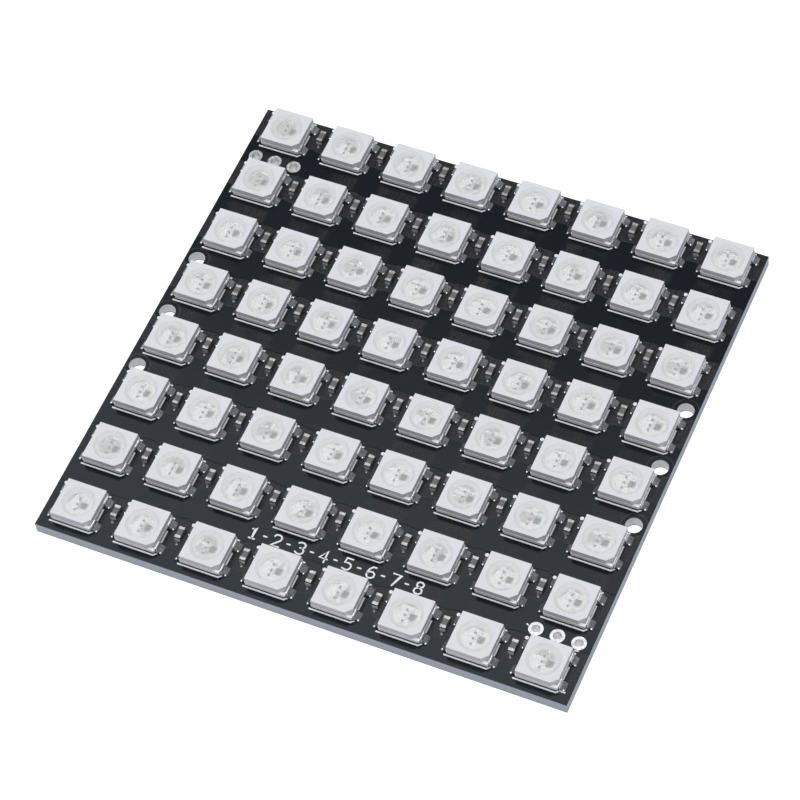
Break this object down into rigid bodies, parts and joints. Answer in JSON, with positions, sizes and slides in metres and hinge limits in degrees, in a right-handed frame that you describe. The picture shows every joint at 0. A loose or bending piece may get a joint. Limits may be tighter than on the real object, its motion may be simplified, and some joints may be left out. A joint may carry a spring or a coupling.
{
  "type": "light-emitting diode matrix board",
  "caption": "Flat square circuit board carrying a grid of square white colour-changing light-emitting diodes, with plated wire holes at two corners and mounting holes at two sides.",
  "frame": {"origin": "centre of the board's underside", "axes": "+X along a row of diodes towards the output holes' side, +Y from the output end to the input end, +Z out of the lit face"},
  "size_m": [0.065, 0.0634, 0.0032],
  "materials": {
    "board": "smooth near-black solder mask over glass-fibre laminate, satin gloss, pale laminate at the cut edges",
    "print": "thin matt white ink",
    "eyelet": "bright tinned copper",
    "housing": "satin white heat-resistant nylon",
    "lens": "milky silicone resin, soft gloss",
    "leads": "silver-plated copper strip in tin solder",
    "driver_chip": "polished dark silicon",
    "emitter_chip": "polished semiconductor crystal",
    "capacitor": "satin brown-gray ceramic",
    "terminal": "tinned end caps in solder"
  },
  "bodies": {
    "root": {"board": "board", "silkscreen": "print", "input_eyelets": "eyelet", "output_eyelets": "eyelet", "row_1_housings": "housing", "row_2_housings": "housing", "row_3_housings": "housing", "row_4_housings": "housing", "row_5_housings": "housing", "row_6_housings": "housing", "row_7_housings": "housing", "row_8_housings": "housing", "row_1_lenses": "lens", "row_2_lenses": "lens", "row_3_lenses": "lens", "row_4_lenses": "lens", "row_5_lenses": "lens", "row_6_lenses": "lens", "row_7_lenses": "lens", "row_8_lenses": "lens", "row_1_leads": "leads", "row_2_leads": "leads", "row_3_leads": "leads", "row_4_leads": "leads", "row_5_leads": "leads", "row_6_leads": "leads", "row_7_leads": "leads", "row_8_leads": "leads", "row_1_driver_chips": "driver_chip", "row_2_driver_chips": "driver_chip", "row_3_driver_chips": "driver_chip", "row_4_driver_chips": "driver_chip", "row_5_driver_chips": "driver_chip", "row_6_driver_chips": "driver_chip", "row_7_driver_chips": "driver_chip", "row_8_driver_chips": "driver_chip", "row_1_emitter_chips": "emitter_chip", "row_2_emitter_chips": "emitter_chip", "row_3_emitter_chips": "emitter_chip", "row_4_emitter_chips": "emitter_chip", "row_5_emitter_chips": "emitter_chip", "row_6_emitter_chips": "emitter_chip", "row_7_emitter_chips": "emitter_chip", "row_8_emitter_chips": "emitter_chip", "row_1_capacitors": "capacitor", "row_2_capacitors": "capacitor", "row_3_capacitors": "capacitor", "row_4_capacitors": "capacitor", "row_5_capacitors": "capacitor", "row_6_capacitors": "capacitor", "row_7_capacitors": "capacitor", "row_8_capacitors": "capacitor", "row_1_terminals": "terminal", "row_2_terminals": "terminal", "row_3_terminals": "terminal", "row_4_terminals": "terminal", "row_5_terminals": "terminal", "row_6_terminals": "terminal", "row_7_terminals": "terminal", "row_8_terminals": "terminal"}
  },
  "joints": []
}
